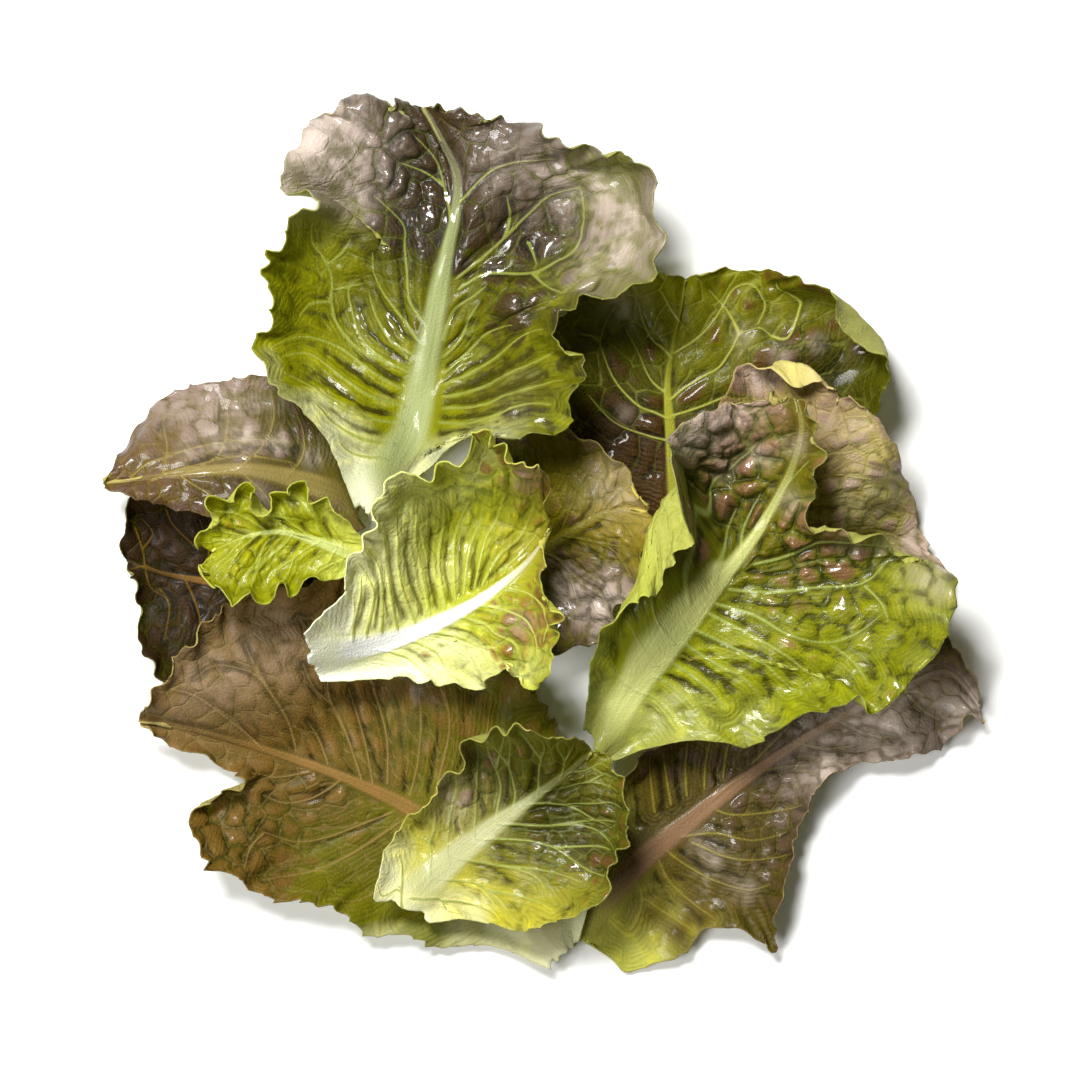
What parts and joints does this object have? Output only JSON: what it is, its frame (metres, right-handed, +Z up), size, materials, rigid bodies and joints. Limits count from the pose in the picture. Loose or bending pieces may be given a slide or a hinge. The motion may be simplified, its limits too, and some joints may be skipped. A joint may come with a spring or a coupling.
{
  "type": "romaine lettuce head",
  "caption": "Red romaine lettuce head opened out into a loose rosette of ruffled leaves with pale ribs, lime green hearts and bronze-brown rims, lying on a surface.",
  "frame": {"origin": "on the supporting surface, under the middle of the rosette's plan box", "axes": "+Z up, away from the surface; +Y towards the tip of the top leaf; +X to the right when seen from above"},
  "size_m": [0.356, 0.3519, 0.0837],
  "materials": {
    "leaf_left_low": "waxy leaf, semi-gloss",
    "leaf_upper_right": "waxy leaf, semi-gloss",
    "leaf_lower_right": "waxy leaf, semi-gloss",
    "leaf_lower_left": "waxy leaf, semi-gloss",
    "leaf_left": "waxy leaf, semi-gloss",
    "leaf_right_back": "waxy leaf, semi-gloss",
    "leaf_centre_dark": "waxy leaf, semi-gloss",
    "leaf_right": "waxy leaf, semi-gloss",
    "leaf_top": "waxy leaf, semi-gloss",
    "leaf_small_frilly": "waxy leaf, semi-gloss",
    "leaf_centre": "waxy leaf, semi-gloss",
    "leaf_lower_centre": "waxy leaf, semi-gloss"
  },
  "bodies": {
    "root": {"leaf_left_low": "leaf_left_low", "leaf_upper_right": "leaf_upper_right", "leaf_lower_right": "leaf_lower_right", "leaf_lower_left": "leaf_lower_left", "leaf_left": "leaf_left", "leaf_right_back": "leaf_right_back", "leaf_centre_dark": "leaf_centre_dark", "leaf_right": "leaf_right", "leaf_top": "leaf_top", "leaf_small_frilly": "leaf_small_frilly", "leaf_centre": "leaf_centre", "leaf_lower_centre": "leaf_lower_centre"}
  },
  "joints": []
}
